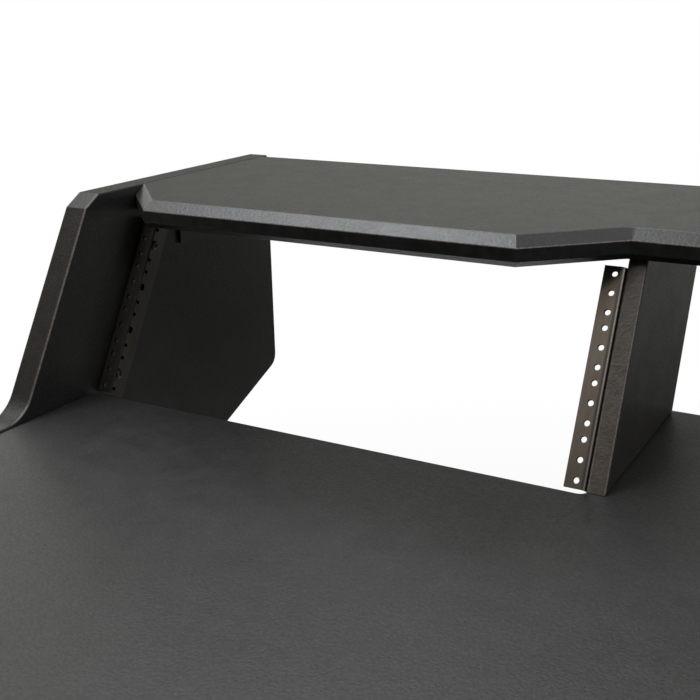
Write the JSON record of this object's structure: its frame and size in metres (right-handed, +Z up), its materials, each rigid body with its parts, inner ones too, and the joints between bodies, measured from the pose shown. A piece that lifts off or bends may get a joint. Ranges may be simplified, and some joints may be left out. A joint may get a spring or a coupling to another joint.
{
  "type": "studio desk",
  "caption": "Studio desk with shaped side panels, a raised shelf with a stepped front edge, leaning rack bays with hole rails, and levelling feet.",
  "frame": {"origin": "on the floor, under the centre of the desk's footprint", "axes": "+X to the user's right along the desk, +Y from the user to the back, +Z up"},
  "size_m": [1.5862, 0.8466, 0.945],
  "materials": {
    "board": "board with a finely textured charcoal coating, satin to matt",
    "rail_steel": "dark bronze-grey finely textured powder coat on bent steel",
    "angle_steel": "black powder coat on bent steel",
    "screw_steel": "blackened steel, slightly shiny",
    "dowel_wood": "plain beech",
    "foot_plastic": "moulded black plastic foot on a threaded stud",
    "insert_steel": "zinc-plated threaded insert"
  },
  "bodies": {
    "desk": {"desktop": "board", "upper_shelf": "board", "side_panel_left": "board", "side_panel_right": "board", "divider_left": "board", "divider_right": "board", "rear_stretcher": "board", "rack_rail_left_outer": "rail_steel", "rack_rail_left_inner": "rail_steel", "rack_rail_right_inner": "rail_steel", "rack_rail_right_outer": "rail_steel", "rail_screw_left_outer_lower": "screw_steel", "rail_screw_left_outer_upper": "screw_steel", "rail_screw_left_inner_lower": "screw_steel", "rail_screw_left_inner_upper": "screw_steel", "rail_screw_right_inner_lower": "screw_steel", "rail_screw_right_inner_upper": "screw_steel", "rail_screw_right_outer_lower": "screw_steel", "rail_screw_right_outer_upper": "screw_steel", "shelf_angle_left": "angle_steel", "shelf_angle_right": "angle_steel", "shelf_angle_panel_screw_left_front": "screw_steel", "shelf_angle_panel_screw_left_rear": "screw_steel", "shelf_angle_panel_screw_right_front": "screw_steel", "shelf_angle_panel_screw_right_rear": "screw_steel", "shelf_angle_board_screw_left_front": "screw_steel", "shelf_angle_board_screw_left_rear": "screw_steel", "shelf_angle_board_screw_right_front": "screw_steel", "shelf_angle_board_screw_right_rear": "screw_steel", "desk_angle_left": "angle_steel", "desk_angle_right": "angle_steel", "desk_angle_panel_screw_left_front": "screw_steel", "desk_angle_panel_screw_left_rear": "screw_steel", "desk_angle_panel_screw_right_front": "screw_steel", "desk_angle_panel_screw_right_rear": "screw_steel", "desk_angle_board_screw_left_front": "screw_steel", "desk_angle_board_screw_left_rear": "screw_steel", "desk_angle_board_screw_right_front": "screw_steel", "desk_angle_board_screw_right_rear": "screw_steel", "divider_screw_left_front": "screw_steel", "divider_screw_left_rear": "screw_steel", "divider_screw_right_front": "screw_steel", "divider_screw_right_rear": "screw_steel", "shelf_dowel_left_front": "dowel_wood", "shelf_dowel_left_rear": "dowel_wood", "shelf_dowel_right_front": "dowel_wood", "shelf_dowel_right_rear": "dowel_wood", "stretcher_screw_left_upper": "screw_steel", "stretcher_screw_left_lower": "screw_steel", "stretcher_screw_right_upper": "screw_steel", "stretcher_screw_right_lower": "screw_steel", "foot_insert_left_front": "insert_steel", "foot_insert_left_rear": "insert_steel", "foot_insert_right_front": "insert_steel", "foot_insert_right_rear": "insert_steel"},
    "foot_left_front": {"levelling_foot_left_front": "foot_plastic"},
    "foot_left_rear": {"levelling_foot_left_rear": "foot_plastic"},
    "foot_right_front": {"levelling_foot_right_front": "foot_plastic"},
    "foot_right_rear": {"levelling_foot_right_rear": "foot_plastic"}
  },
  "joints": [
    {"name": "level_left_front", "type": "slide", "parent": "desk", "child": "foot_left_front", "axis": [0, 0, -1], "range_m": [0, 0.01]},
    {"name": "level_left_rear", "type": "slide", "parent": "desk", "child": "foot_left_rear", "axis": [0, 0, -1], "range_m": [0, 0.01]},
    {"name": "level_right_front", "type": "slide", "parent": "desk", "child": "foot_right_front", "axis": [0, 0, -1], "range_m": [0, 0.01]},
    {"name": "level_right_rear", "type": "slide", "parent": "desk", "child": "foot_right_rear", "axis": [0, 0, -1], "range_m": [0, 0.01]}
  ]
}
